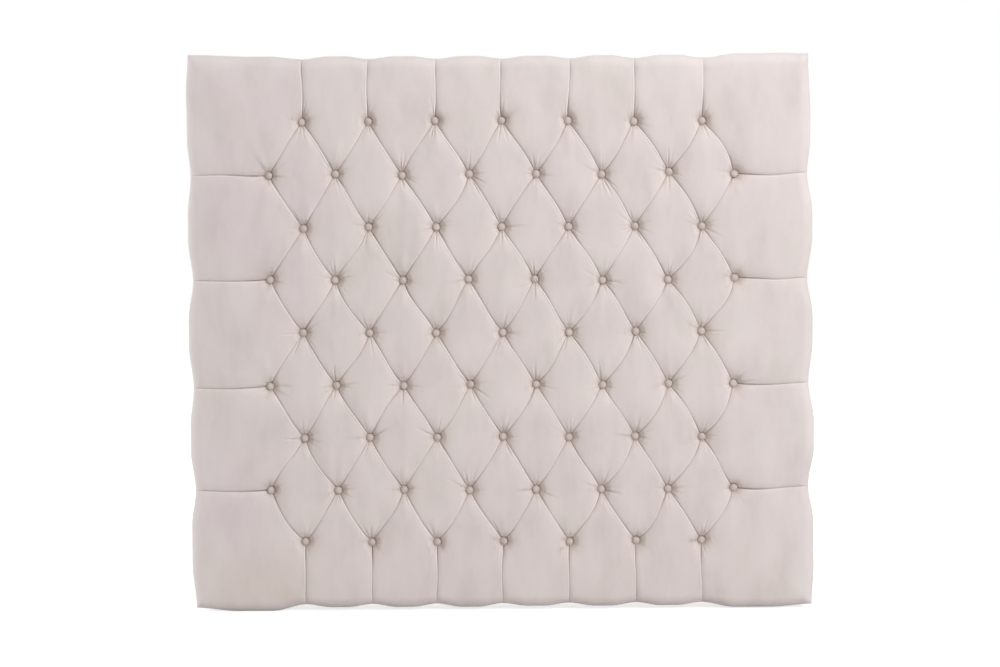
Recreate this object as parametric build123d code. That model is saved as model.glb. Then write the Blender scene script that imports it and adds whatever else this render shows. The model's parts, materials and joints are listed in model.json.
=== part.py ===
from build123d import *
import math
import os

# Upholstered double-bed headboard with deep-buttoned diamond tufting, in millimetres.
# X runs across the bed, the tufted front faces -Y, and Z is up from the lowest line.
# A height is a distance in front of the face board's front, so what lies behind that is below zero.

# Outline of the upholstery
corner_width = 1400.0           # across, from one pointed corner to the other
corner_height = 1250.0          # upwards, from one pointed corner to the other
side_bulge = 6.5                # a puff stands out this far past the line between two corners
side_pleat_in = 4.0             # a pleat draws the edge in this far behind that line
top_bulge = 1.5
top_pleat_in = 8.0
bottom_bulge = 8.0
bottom_pleat_out = 2.0          # along the bottom even the pleats hang a little low

# Buttons and tufting
button_rows = 9                 # short and long rows by turns, with a short one first and last
long_row_count = 8              # buttons in a long row, one more than in a short row
side_margin = 175.0             # from the side line to the end button of a long row
bottom_margin = 152.0
top_margin = 146.0
button_diameter = 19.0
button_rim = 3.0                # straight side of a button
button_dome = 4.5               # its low dome above that
pit_spare = 1.0                 # round a button on the flat floor of its pit
pleat_width = 4.0               # floor of a pleat where it reaches the edge

# Heights of the velvet
crown_height = 60.0             # middle of a diamond
margin_crown_height = 59.0      # top of a puff along the edge
crease_height = 51.0            # middle of a crease between two buttons
pit_height = 41.0               # floor under a button
edge_height = 54.0              # where the front begins to turn over the edge
pleat_edge_height = 46.0        # the same at a pleat
pleat_rise = 4.0                # a pleat arches this far above the line from its pit to the edge
widest_height = 22.0            # level of the outline
edge_roll = 28.0                # from the outline inwards to where the front begins to turn

# Upholstery layers
velvet_thickness = 3.0
layer_gap = 1.2                 # between the velvet and what lies under it
soft_gap = 0.3                  # between a soft piece and a neighbour that it rests on
side_taper = 12.0               # the sides draw in from the outline to the back edge
wadding_thickness = 7.7
return_width = 45.0             # velvet turned over onto the back of the frame
lining_thickness = 0.8
lining_inset = 12.0             # from the back edge to the edge of the lining
outer_facet_rise = 0.7          # the flat facets of a skin leave its arcs by no more than this
inner_facet_rise = 5.0

# Frame and face board
frame_depth = 45.0
stile_width = 70.0
rail_width = 60.0
upright_width = 45.0
upright_place_share = 2.75      # inner uprights from the middle, in button spacings
board_thickness = 9.0
lap_gap = 0.2                   # at each cheek of a halving joint
block_leg = 85.0                # corner block, along each member
block_thickness = 30.0

# Twine and the toggles that it is tied to
twine_width = 2.5
twine_hole = 4.5                # in the velvet and in the face board
toggle_length = 22.0
toggle_width = 12.0
toggle_thickness = 5.0

# Threaded inserts for the bolts of bed struts or wall brackets
bolt_low = 200.0                # lower pair above the lowest line
bolt_spacing = 400.0            # from the lower pair to the upper pair
bolt_diameter = 8.0
insert_diameter = 12.0
insert_length = 20.0
insert_gap = 0.15               # round an insert in its hole
hole_spare = 6.0                # the hole goes on this far past the insert
lining_cut = 22.0               # square cut in the lining over each insert

overrun = 2.0                   # a cut runs past the face that it opens

# Counts and steps
button_sides = 8
twine_sides = 3                 # of a twine and of the holes that it runs through
outer_steps = 3                 # flat steps that turn the velvet's outer face over the edge
inner_steps = 1                 # under that the edge is one bevel
outer_section_shares = (0, 1 / 4, 1 / 2, 3 / 4, 1)      # of the way between two rows of buttons
inner_section_shares = (0, 1 / 2, 1)

# Worked out from the sizes above
last_column = long_row_count - 1                            # columns are half a spacing apart
half_spacing = (corner_width / 2 - side_margin) / last_column
row_spacing = (corner_height - bottom_margin - top_margin) / (button_rows - 1)
pit_width = button_diameter + 2 * pit_spare
low_line = bottom_bulge
high_line = low_line + corner_height
lap_height = -board_thickness - frame_depth / 2
frame_back = -board_thickness - frame_depth
velvet_in = frame_back - soft_gap
velvet_back = velvet_in - velvet_thickness
lining_front = velvet_back - soft_gap
lining_back = lining_front - lining_thickness
depth = crown_height - lining_back
face_y = depth / 2 + lining_back
frame_inset = side_taper + velvet_thickness + layer_gap + wadding_thickness + soft_gap
frame_x = corner_width / 2 - frame_inset
frame_low = low_line + frame_inset
frame_high = high_line - frame_inset
stile_x = frame_x - stile_width / 2
upright_x = upright_place_share * 2 * half_spacing
middle_row = button_rows // 2


def between(first, second, share):
    return first + (second - first) * share


def swell(share):
    """Rises from 0 to 1 and arrives there level."""
    return 1 - (1 - share) ** 2


def arch(share):
    """0 at both ends and 1 in the middle."""
    return 4 * share * (1 - share)


def peaked(first, second, peak, share):
    """Curve from the first value to the second that swells to a peak on its way."""
    middle = peak - (first + second) / 2
    swelling = (middle + math.sqrt(middle ** 2 - (second - first) ** 2 / 4)) / 2
    return between(first, second, share) + swelling * arch(share)


FORWARD = (0, -1, 0)


def at(x, z, height):
    return Vector(x, face_y - height, z)


def block(low, high):
    """Box between two corners, each given as x, z and height."""
    x0, z0, h0 = low
    x1, z1, h1 = high
    middle = at((x0 + x1) / 2, (z0 + z1) / 2, (h0 + h1) / 2)
    return Pos(*middle) * Box(abs(x1 - x0), abs(h1 - h0), abs(z1 - z0))


def rod(x, z, width, back, front, sides=None):
    """Bar along the depth, round or with a number of flat sides. Its width is over its corners."""
    outline = RegularPolygon(width / 2, sides) if sides else Circle(width / 2)
    return extrude(Plane(origin=at(x, z, back), z_dir=FORWARD) * outline, front - back)


def flat_face(*points):
    return Face(Wire.make_polygon(points))


def closed(faces):
    solid = Solid(Shell(faces))
    return solid if solid.volume > 0 else -solid


def save(name, *shapes):
    """Write one node, which is a single solid or a group of separate ones."""
    solids = [solid for shape in shapes for solid in shape.solids()]
    export_step(solids[0] if len(solids) == 1 else Compound(solids), f"parts/{name}.step")


# Places of the buttons


def row_z(row):
    return low_line + bottom_margin + row * row_spacing


def is_long(row):
    return row % 2 == 1


def has_button(column, long):
    odd = (column - last_column) % 2
    return abs(column) <= last_column and odd == (0 if long else 1)


def button_places(row):
    columns = range(-last_column, last_column + 1)
    return [(c * half_spacing, row_z(row)) for c in columns if has_button(c, is_long(row))]


def all_places():
    return [place for row in range(button_rows) for place in button_places(row)]


# Tufted skins
# A section is a chain of points from the left side to the right one: the ends of its arcs, with
# the top of each arc between them. A skin is laid over sections from the bottom edge to the top.


class Layer:
    """One skin: how far it lies inside the velvet's outer face, where its back edge is, and how
    fine its facets are."""

    def __init__(self, inset, back_inset, back_height, fine=False):
        steps = outer_steps if fine else inner_steps
        self.facet_rise = outer_facet_rise if fine else inner_facet_rise
        self.shares = outer_section_shares if fine else inner_section_shares
        self.inset = inset
        self.half_width = corner_width / 2 - inset
        self.back_x = corner_width / 2 - back_inset
        self.back_low = low_line + back_inset
        self.back_high = high_line - back_inset
        self.back_height = back_height
        self.steps = steps
        self.side_points = 2 * (steps + 1)      # of a section, before the front begins

    def back_z(self, end):
        return self.back_high if end > 0 else self.back_low

    def turns(self):
        """Angles of the steps over the edge, from the front to the outline."""
        return [math.pi / 2 * step / self.steps for step in range(self.steps + 1)]


def pit_edges(long, opening):
    """x of the lines between columns in a row of buttons whose pits are this wide."""
    edges = []
    for column in range(-last_column - 1, last_column + 1):
        if has_button(column, long):
            edges.append(column * half_spacing + opening / 2)
        elif has_button(column + 1, long):
            edges.append((column + 1) * half_spacing - opening / 2)
        else:
            edges.append(math.copysign(last_column * half_spacing + pit_width / 2, column))
    return edges


def side_edge(layer, outline_x, z, front):
    """Left side of a section: the wall from its back edge, then the steps up to the front."""
    widest = widest_height - layer.inset
    ends = [at(-layer.back_x, z, layer.back_height)]
    for turn in reversed(layer.turns()):
        x = outline_x - edge_roll * (1 - math.sin(turn))
        ends.append(at(-x, z, between(widest, front, math.cos(turn))))
    chain = [ends[0]]
    for a, b in zip(ends, ends[1:]):
        chain += [(a + b) / 2, b]
    return chain


def columns_part(layer, edges, top, low):
    """Section from the first line between columns to the middle one."""
    chain = []
    for column in range(1 - last_column, 1):
        a, b = edges[column + last_column], edges[column + last_column + 1]
        chain.append(top((a + b) / 2, column))
        if column < 0:
            chain.append(low(b))
    return chain


def mirrored(left):
    """A whole section from its left half, which ends on the middle plane."""
    return left + [Vector(-p.X, p.Y, p.Z) for p in reversed(left[:-1])]


def band_section(layer, row, share):
    """Section between a row of buttons, at share 0, and the next row up, at share 1."""
    long = is_long(row)
    puffed = share if long else 1 - share       # 0 at the side pleat of the long row
    reach = (pleat_width, pit_width) if long else (pit_width, pleat_width)
    z = between(row_z(row) + pit_width / 2, row_z(row + 1) - pit_width / 2, share)
    edge_z = between(row_z(row) + reach[0] / 2, row_z(row + 1) - reach[1] / 2, share)
    crease = between(pit_height, crease_height, arch(share)) - layer.inset
    front = between(pleat_edge_height, edge_height, swell(puffed)) - layer.inset
    puff = between(pleat_edge_height, margin_crown_height, swell(puffed)) - layer.inset
    pit = pit_height - layer.inset
    outline_x = layer.half_width + between(-side_pleat_in, side_bulge, swell(puffed))
    start = edge_roll - outline_x
    pairs = zip(pit_edges(long, pit_width), pit_edges(not long, pit_width))
    edges = [between(a, b, share) for a, b in pairs]

    def margin(x):
        along = (x - start) / (edges[1] - start)
        z_here = between(edge_z, z, min(1, (x - start) / (edges[0] - start)))
        return at(x, z_here, peaked(front, crease, puff, along))

    def top(x, column):
        swelling = 1 - share if not has_button(column, long) else share
        height = between(pit_height, crown_height, swell(swelling)) - layer.inset
        return at(x, z, max(height, crease))

    chain = side_edge(layer, outline_x, edge_z, front)
    middles = ((start + edges[0]) / 2, (edges[0] + edges[1]) / 2)
    if puffed > 0:
        chain += [margin(x) for x in (middles[0], edges[0], middles[1], edges[1])]
    else:
        chain.append(at(middles[0], (edge_z + z) / 2, (front + pit) / 2 + pleat_rise))
        chain += [at(x, z, pit) for x in (edges[0], middles[1], edges[1])]
    return mirrored(chain + columns_part(layer, edges, top, lambda x: at(x, z, crease)))


def end_section(layer, end, share):
    """Section past the last row, at share 0, to where the front turns over the edge, at share 1.
    The end is 1 for the top and -1 for the bottom, which is the same upside down."""
    row = button_rows - 1 if end > 0 else 0
    line = high_line if end > 0 else low_line
    bulge = top_bulge if end > 0 else bottom_bulge
    pleat_out = -top_pleat_in if end > 0 else bottom_pleat_out
    first_z = row_z(row) + end * pit_width / 2
    long = is_long(row)
    edges = pit_edges(long, between(pit_width, pleat_width, share))
    pleat = between(pit_height, pleat_edge_height, share) + pleat_rise * arch(share) - layer.inset
    crown = between(edge_height, crown_height, swell(1 - share)) - layer.inset
    puff = between(edge_height, margin_crown_height, swell(1 - share)) - layer.inset
    front = edge_height - layer.inset
    outline_x = layer.half_width + side_bulge * swell(1 - share)
    start = edge_roll - outline_x

    def z_at(out):
        return between(first_z, line + end * (out - layer.inset - edge_roll), share)

    def corner_puff(x):
        along = (edges[1] - x) / (edges[1] - start)
        return at(x, z_at(peaked(pleat_out, 0, bulge, along)), peaked(pleat, front, puff, along))

    def top(x, column):
        return at(x, z_at(pleat_out), pleat) if has_button(column, long) else at(x, z_at(bulge), crown)

    chain = side_edge(layer, outline_x, z_at(0), front)
    middles = ((start + edges[0]) / 2, (edges[0] + edges[1]) / 2)
    chain += [corner_puff(x) for x in (middles[0], edges[0], middles[1], edges[1])]
    return mirrored(chain + columns_part(layer, edges, top, lambda x: at(x, z_at(pleat_out), pleat)))


def turned_over(layer, end, front, turn):
    """Points of the front's last section, carried over the top or bottom edge by an angle."""
    widest = widest_height - layer.inset
    points = []
    for p in front:
        height = between(widest, face_y - p.Y, math.cos(turn))
        points.append(at(p.X, p.Z + end * edge_roll * math.sin(turn), height))
    return points


def spans(section):
    return [section[i:i + 3] for i in range(0, len(section) - 1, 2)]


def rise(a, top, b):
    return (top - (a + b) / 2).length


def points_along(layer, a, top, b):
    """Points on the curve through three points, as many as keep the facets near it."""
    parts = max(1, math.ceil(math.sqrt(rise(a, top, b) / layer.facet_rise)))
    lift = top - (a + b) / 2
    return [a + (b - a) * (i / parts) + lift * arch(i / parts) for i in range(parts + 1)]


def facets(layer, below, above):
    """Flat triangles between two arcs that end on the same lines between columns."""
    lower, upper = points_along(layer, *below), points_along(layer, *above)
    faces = []
    i = j = 0
    while i + j < len(lower) + len(upper) - 2:
        share_below, share_above = (i + 1) / (len(lower) - 1), (j + 1) / (len(upper) - 1)
        if share_below <= share_above:
            faces.append(flat_face(lower[i], lower[i + 1], upper[j]))
            i += 1
        else:
            faces.append(flat_face(lower[i], upper[j + 1], upper[j]))
            j += 1
    return faces


def strip_between(layer, sections):
    """Facets over sections that follow one another."""
    faces = []
    for low, high in zip(sections, sections[1:]):
        for below, above in zip(spans(low), spans(high)):
            faces += facets(layer, below, above)
    return faces


def corner_faces(layer, end, section):
    """Both pointed corners at one end, where the side and the end edge turn over and meet."""
    faces = []
    for chain in (section, section[::-1]):
        side = chain[:layer.side_points + 1:2]
        back, outline, start = side[0], side[1], side[-1]
        tip = outline + Vector(0, 0, end * edge_roll)
        back_tip = at(back.X, layer.back_z(end), layer.back_height)
        over = [turned_over(layer, end, [start], turn)[0] for turn in layer.turns()]
        over_back = at(start.X, back_tip.Z, layer.back_height)
        faces.append(flat_face(back, outline, tip, back_tip))
        faces.append(flat_face(over[-1], over_back, back_tip, tip))
        faces += [flat_face(p, q, tip) for p, q in zip(side[1:], side[2:])]
        faces += [flat_face(p, q, tip) for p, q in zip(over, over[1:])]
    return faces


def make_skin(layer, pit_strip=strip_between):
    """Faces of one skin, which is open at the back, and the points round its back edge.
    The strips that hold a row of pits can be made by a function of their own."""
    chains = [[end_section(layer, -1, share) for share in reversed(layer.shares)]]
    for row in range(button_rows - 1):
        chains.append([band_section(layer, row, share) for share in layer.shares])
    chains.append([end_section(layer, 1, share) for share in layer.shares])
    faces, back_left = [], []
    for chain in chains:
        faces += strip_between(layer, chain)
        back_left += [section[0] for section in chain]
    for low, high in zip(chains, chains[1:]):
        faces += pit_strip(layer, [low[-1], high[0]])

    back_ends = {}
    for end, section in ((-1, chains[0][0]), (1, chains[-1][-1])):
        front = section[layer.side_points:-layer.side_points]
        over = [turned_over(layer, end, front, turn) for turn in layer.turns()]
        back = [at(p.X, layer.back_z(end), layer.back_height) for p in front]
        faces += strip_between(layer, over + [back]) + corner_faces(layer, end, section)
        back_ends[end] = back[::2]

    corners = {end: at(-layer.back_x, layer.back_z(end), layer.back_height) for end in (-1, 1)}
    round_left = [corners[1], *back_left[::-1], corners[-1]]
    round_right = [Vector(-p.X, p.Y, p.Z) for p in reversed(round_left)]
    return faces, [*round_left, *back_ends[-1], *round_right, *back_ends[1][::-1]]


# Upholstery


def make_velvet():
    """Velvet over the front and sides, turned over onto the back of the frame."""
    outer = Layer(0, side_taper, velvet_back, fine=True)
    inner = Layer(velvet_thickness, side_taper + velvet_thickness, velvet_in)
    x = outer.back_x - return_width
    z_low, z_high = outer.back_low + return_width, outer.back_high - return_width
    corners = ((-x, z_low), (x, z_low), (x, z_high), (-x, z_high), (-x, z_low))
    faces = []
    for layer in (outer, inner):
        skin, back_edge = make_skin(layer)
        opening = Wire.make_polygon([at(*corner, layer.back_height) for corner in corners])
        faces += skin + [Face(Wire.make_polygon(back_edge), [opening])]
    for a, b in zip(corners, corners[1:]):
        turned = (at(*a, velvet_back), at(*b, velvet_back), at(*b, velvet_in), at(*a, velvet_in))
        faces.append(flat_face(*turned))
    low, high = pit_height - velvet_thickness - overrun, pit_height + overrun
    return closed(faces) - [rod(x, z, twine_hole, low, high, twine_sides) for x, z in all_places()]


def make_foam():
    """Foam pad with the fibre layer glued to its face, cut through under each button."""
    inset = velvet_thickness + layer_gap
    layer = Layer(inset, frame_inset - wadding_thickness, soft_gap)
    floor_y = at(0, 0, pit_height - inset).Y
    feet = []

    def open_pits(layer, sections):
        faces = []
        for below, above in zip(spans(sections[0]), spans(sections[1])):
            if any(round(p.Y - floor_y, 6) for p in below):
                faces += facets(layer, below, above)
                continue
            rim = [below[0], below[-1], above[-1], above[0]]
            foot = [at(p.X, p.Z, layer.back_height) for p in rim]
            feet.append(Wire.make_polygon(foot))
            walls = zip(rim, rim[1:] + rim[:1], foot[1:] + foot[:1], foot)
            faces += [flat_face(*wall) for wall in walls]
        return faces

    faces, back_edge = make_skin(layer, open_pits)
    return closed(faces + [Face(Wire.make_polygon(back_edge), feet)])


def make_wadding(side):
    """Strip of wadding along one side of the frame, under the velvet's wall."""
    near, far = frame_x + soft_gap, frame_x + soft_gap + wadding_thickness
    low, high = frame_low - soft_gap, frame_high + soft_gap
    if side in ("left", "right"):
        x0, x1 = (near, far) if side == "right" else (-far, -near)
        return block((x0, low + soft_gap, frame_back), (x1, high - soft_gap, -soft_gap))
    z0, z1 = (high, high + wadding_thickness) if side == "top" else (low - wadding_thickness, low)
    return block((-far, z0, frame_back), (far, z1, -soft_gap))


def make_lining():
    """Thin cloth over the open back of the frame, cut out over the inserts."""
    x = corner_width / 2 - side_taper - lining_inset
    z = side_taper + lining_inset
    lining = block((-x, low_line + z, lining_back), (x, high_line - z, lining_front))
    half = lining_cut / 2
    low, high = lining_back - overrun, lining_front + overrun
    for px, pz in bolt_places():
        lining -= block((px - half, pz - half, low), (px + half, pz + half, high))
    return lining


# Buttons, twine and toggles


def make_button():
    """Flat-sided button with a low dome, over x and z of zero."""
    base = pit_height + soft_gap
    angles = [2 * math.pi * (side + 1 / 2) / button_sides for side in range(button_sides)]
    ring = [(button_diameter / 2 * math.cos(a), button_diameter / 2 * math.sin(a)) for a in angles]
    foot = [at(*place, base) for place in ring]
    shoulder = [at(*place, base + button_rim) for place in ring]
    tip = at(0, 0, base + button_rim + button_dome)
    faces = [flat_face(*foot)]
    for i in range(button_sides):
        faces.append(flat_face(foot[i - 1], foot[i], shoulder[i], shoulder[i - 1]))
        faces.append(flat_face(shoulder[i - 1], shoulder[i], tip))
    return closed(faces)


def make_twine(x, z):
    return rod(x, z, twine_width, -board_thickness, pit_height + soft_gap, twine_sides)


def make_toggle(x, z):
    across, up = toggle_width / 2, toggle_length / 2
    front = -board_thickness
    return block((x - across, z - up, front - toggle_thickness), (x + across, z + up, front))


# Frame and face board


def rail_places():
    half = rail_width / 2
    middle = row_z(middle_row) + row_spacing / 2
    return {"bottom": frame_low + half, "middle": middle, "top": frame_high - half}


def post_places():
    posts = ((stile_x, stile_width), (upright_x, upright_width))
    return [(side * x, width) for x, width in posts for side in (-1, 1)]


def bolt_places():
    return [(x, z) for x in (-upright_x, upright_x) for z in (bolt_low, bolt_low + bolt_spacing)]


def make_post(x, width):
    """Stile or inner upright. The rails cross it in halving joints cut in its front half."""
    front = -board_thickness
    post = block((x - width / 2, frame_low, frame_back), (x + width / 2, frame_high, front))
    half = rail_width / 2 + lap_gap
    for z in rail_places().values():
        post -= block((x - width, z - half, lap_height), (x + width, z + half, front + overrun))
    return post


def make_rail(z):
    """Rail with its back half cut away where the stiles and uprights cross it."""
    up = rail_width / 2
    rail = block((-frame_x, z - up, frame_back), (frame_x, z + up, -board_thickness))
    low, high = frame_back - overrun, lap_height
    for x, width in post_places():
        half = width / 2 + lap_gap
        rail -= block((x - half, z - rail_width, low), (x + half, z + rail_width, high))
    return rail


def make_upright(x):
    """Inner upright with blind holes for the threaded inserts."""
    depth_of_hole = frame_back + insert_length + hole_spare
    holes = [rod(x, z, insert_diameter + 2 * insert_gap, frame_back - overrun, depth_of_hole)
             for px, z in bolt_places() if px == x]
    return make_post(x, upright_width) - holes


def make_insert(x, z):
    sleeve = rod(x, z, insert_diameter, frame_back, frame_back + insert_length)
    return sleeve - rod(x, z, bolt_diameter, frame_back - overrun, frame_back + insert_length + overrun)


def make_corner_block(across, up):
    """Triangular glue block in one inner corner of the frame. across and up are 1 or -1."""
    x = -across * (frame_x - stile_width)
    z = frame_low + rail_width if up > 0 else frame_high - rail_width
    back = -board_thickness - block_thickness
    ends = ((x, z), (x + across * block_leg, z), (x, z + up * block_leg))
    return extrude(flat_face(*[at(*end, back) for end in ends]), block_thickness, dir=FORWARD)


def make_face_board():
    """Board that the foam lies on, with a hole for each twine."""
    board = block((-frame_x, frame_low, -board_thickness), (frame_x, frame_high, 0))
    low, high = -board_thickness - overrun, overrun
    return board - [rod(x, z, twine_hole, low, high, twine_sides) for x, z in all_places()]


os.makedirs("parts", exist_ok=True)

save("frame_stile_left", make_post(-stile_x, stile_width))
save("frame_stile_right", make_post(stile_x, stile_width))
save("frame_upright_left", make_upright(-upright_x))
save("frame_upright_right", make_upright(upright_x))
for place, rail_z in rail_places().items():
    save(f"frame_rail_{place}", make_rail(rail_z))
save("corner_blocks", *[make_corner_block(across, up) for across in (-1, 1) for up in (-1, 1)])
save("face_board", make_face_board())
save("threaded_inserts", *[make_insert(x, z) for x, z in bolt_places()])
save("foam_pad", make_foam())
for side in ("left", "right", "top", "bottom"):
    save(f"edge_wadding_{side}", make_wadding(side))
save("velvet_cover", make_velvet())
save("back_lining", make_lining())
button = make_button()
for row in range(button_rows):
    save(f"button_row_{row + 1}", *[Pos(x, 0, z) * button for x, z in button_places(row)])
    save(f"twine_row_{row + 1}", *[make_twine(x, z) for x, z in button_places(row)])
    save(f"toggle_row_{row + 1}", *[make_toggle(x, z) for x, z in button_places(row)])
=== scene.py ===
import json
import math
import bpy
import bmesh
import numpy as np
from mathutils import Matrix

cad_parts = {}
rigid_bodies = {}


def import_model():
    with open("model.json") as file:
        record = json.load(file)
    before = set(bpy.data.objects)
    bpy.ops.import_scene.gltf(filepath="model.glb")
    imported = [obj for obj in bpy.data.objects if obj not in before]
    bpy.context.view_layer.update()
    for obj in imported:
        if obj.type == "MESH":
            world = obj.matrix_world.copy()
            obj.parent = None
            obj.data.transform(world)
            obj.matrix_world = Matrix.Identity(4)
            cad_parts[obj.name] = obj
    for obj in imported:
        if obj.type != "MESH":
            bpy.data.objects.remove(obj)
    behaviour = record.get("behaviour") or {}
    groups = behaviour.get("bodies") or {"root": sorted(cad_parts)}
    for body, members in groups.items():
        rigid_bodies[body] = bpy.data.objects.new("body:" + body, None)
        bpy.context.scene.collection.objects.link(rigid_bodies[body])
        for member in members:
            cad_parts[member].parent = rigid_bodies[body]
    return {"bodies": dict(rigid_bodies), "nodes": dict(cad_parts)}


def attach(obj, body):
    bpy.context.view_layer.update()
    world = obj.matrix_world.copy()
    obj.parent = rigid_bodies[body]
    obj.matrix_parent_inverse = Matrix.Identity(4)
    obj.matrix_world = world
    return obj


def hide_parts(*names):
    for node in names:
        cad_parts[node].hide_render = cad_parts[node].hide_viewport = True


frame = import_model()
body = list(frame["bodies"])[0]
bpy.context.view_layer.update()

# Shapes are worked out in millimetres: x across, z up, and height forwards from the face board's
# front. They are turned into metres, and heights into y, when a mesh is made.

mm = 0.001
frontY = 0.8  # y of the face board's front


# Points in metres, whose y falls as the height grows
def toMetres(x, z, height):
    return np.stack([x, frontY - height, z], axis=-1) * mm


# A new object of the scene
def addObject(name, data):
    piece = bpy.data.objects.new(name, data)
    bpy.context.scene.collection.objects.link(piece)
    return piece


# An object from points in metres and faces of point numbers
def addMesh(name, points, faces, smooth=True):
    mesh = bpy.data.meshes.new(name)
    mesh.from_pydata(points.reshape(-1, 3).tolist(), [], faces)
    mesh.update()
    if smooth:
        mesh.polygons.foreach_set("use_smooth", np.ones(len(mesh.polygons), dtype=bool))
    return addObject(name, mesh)


# Faces of a grid of rows by columns, as four corner numbers each
def gridFaces(rows, columns, first=0, closed=False):
    row = np.arange(rows - 1)[:, None] * columns
    column = np.arange(columns if closed else columns - 1)[None, :]
    after = (column + 1) % columns
    corners = [row + column, row + after, row + columns + after, row + columns + column]
    return (np.stack(corners, axis=-1).reshape(-1, 4) + first).tolist()


# Faces of so many tubes, with one face over each end
def tubeFaces(count, rings, sides):
    faces = []
    for first in range(0, count * rings * sides, rings * sides):
        last = first + rings * sides
        faces += gridFaces(rings, sides, first, closed=True)
        faces += [list(range(first + sides - 1, first - 1, -1)), list(range(last - sides, last))]
    return faces


# Joins points within the distance, fills open edges if that is asked for, and turns faces outward
def clean(piece, distance, outward=True, filled=False):
    work = bmesh.new()
    work.from_mesh(piece.data)
    bmesh.ops.remove_doubles(work, verts=work.verts, dist=distance)
    if filled:
        rims = [edge for edge in work.edges if edge.is_boundary]
        bmesh.ops.holes_fill(work, edges=rims, sides=0)
    if outward:
        bmesh.ops.recalc_face_normals(work, faces=work.faces)
    work.to_mesh(piece.data)
    work.free()


# 0 below the low value, 1 above the high one, and a cubic between that is level at both
def smoothStep(value, low, high):
    share = np.clip((value - low) / (high - low), 0, 1)
    return share * share * (3 - 2 * share)


# Buttons and the creases between them

buttoning = {
    "rows": 9,
    "longRow": 8,  # buttons in every other row, one more than in its neighbours
    "halfSpacing": 75.0,  # half the way to the next button of a row
    "rowSpacing": 119.0,
    "firstRow": 160.0,  # height of the lowest row
    "straying": 1.2,  # how far a button lies off its place, as a spread
    # how far a crease up to the left or up to the right bows to one side, as a spread
    "creaseBow": (2.7, 3.1),
    # and on average: in the middle of the cover, and what is added at its right, its top and both
    "creaseSag": ((-0.4, -5.8, -3.3, -0.7), (-3.4, -4.6, 2.6, 1.9)),
    "sagMiddle": 638.0, "sagReach": (567.0, 476.0),  # that middle's height, and the ways right and up
    "wander": 0.35,  # spread of a line's second bend, as a share of that of its bow
    "depth": (0.92, 1.08), "depthRight": 0.12,  # of a crease, and what one up to the right adds
    "lip": (0.7, 1.1), "lipRight": -0.6,  # and the same for its lip
    "segments": 56,  # mesh steps along a crease
    "seed": 11,
}


# Even steps about the middle of each row, and a random stray from each place
def buttonPlaces(values):
    random = np.random.default_rng(values["seed"])
    rows = []
    for row in range(values["rows"]):
        count = values["longRow"] - 1 + row % 2
        x = (np.arange(count) - (count - 1) / 2) * 2 * values["halfSpacing"]
        z = np.full(count, values["firstRow"] + row * values["rowSpacing"])
        rows.append(np.stack([x, z], axis=1) + random.normal(0, values["straying"], (count, 2)))
    return rows


# Places from 0 to 1 whose gaps grow from the ends to the middle by the fourth power of a sine
def crowded(count, ends=1.3, middle=3.4):
    gaps = ends + middle * np.sin(math.pi * (np.arange(count) + 0.5) / count) ** 4
    places = np.concatenate([[0], np.cumsum(gaps)])
    return places / places[-1]


class Line:
    # A crease or a pleat: a straight run between two places that bows to one side by a sine
    # of its length and wanders by a sine of twice its length
    def __init__(self, start, end, random, bow, sag, depth=1.0, lip=0.0):
        self.start, self.end = np.array(start, float), np.array(end, float)
        along = self.end - self.start
        self.length = np.hypot(*along)
        self.direction = along / self.length
        self.side = np.array([-self.direction[1], self.direction[0]])
        self.bow, self.wander = random.normal(sag, bow), random.normal(0, bow * buttoning["wander"])
        self.depth, self.lip = depth, lip

    def offset(self, share):
        return self.bow * np.sin(math.pi * share) + self.wander * np.sin(2 * math.pi * share)

    def at(self, share):
        straight = self.start + np.outer(share, self.end - self.start)
        return straight + np.outer(self.offset(share), self.side)


# A crease's usual bow: a constant, and one each times the way right, the way up and their product
def usualBow(middle, side):
    across = middle[0] / buttoning["sagReach"][0]
    up = (middle[1] - buttoning["sagMiddle"]) / buttoning["sagReach"][1]
    return np.dot(buttoning["creaseSag"][side], (1, across, up, across * up))


buttonRows = buttonPlaces(buttoning)
creaseSteps = crowded(buttoning["segments"])
random = np.random.default_rng(buttoning["seed"] + 1)
creases = {}  # by row, button and side (0 up to the left, 1 up to the right)
for row in range(buttoning["rows"] - 1):
    for number, place in enumerate(buttonRows[row]):
        for side in (0, 1):
            upper = number + side - row % 2
            if 0 <= upper < len(buttonRows[row + 1]):
                end = buttonRows[row + 1][upper]
                depth = random.uniform(*buttoning["depth"]) + buttoning["depthRight"] * side
                lip = random.uniform(*buttoning["lip"]) + buttoning["lipRight"] * side
                bow, sag = buttoning["creaseBow"][side], usualBow((place + end) / 2, side)
                creases[row, number, side] = Line(place, end, random, bow, sag, depth, lip)
print("Buttons placed:", sum(len(r) for r in buttonRows), "creases:", len(creases))


# The tufted cover

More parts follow.
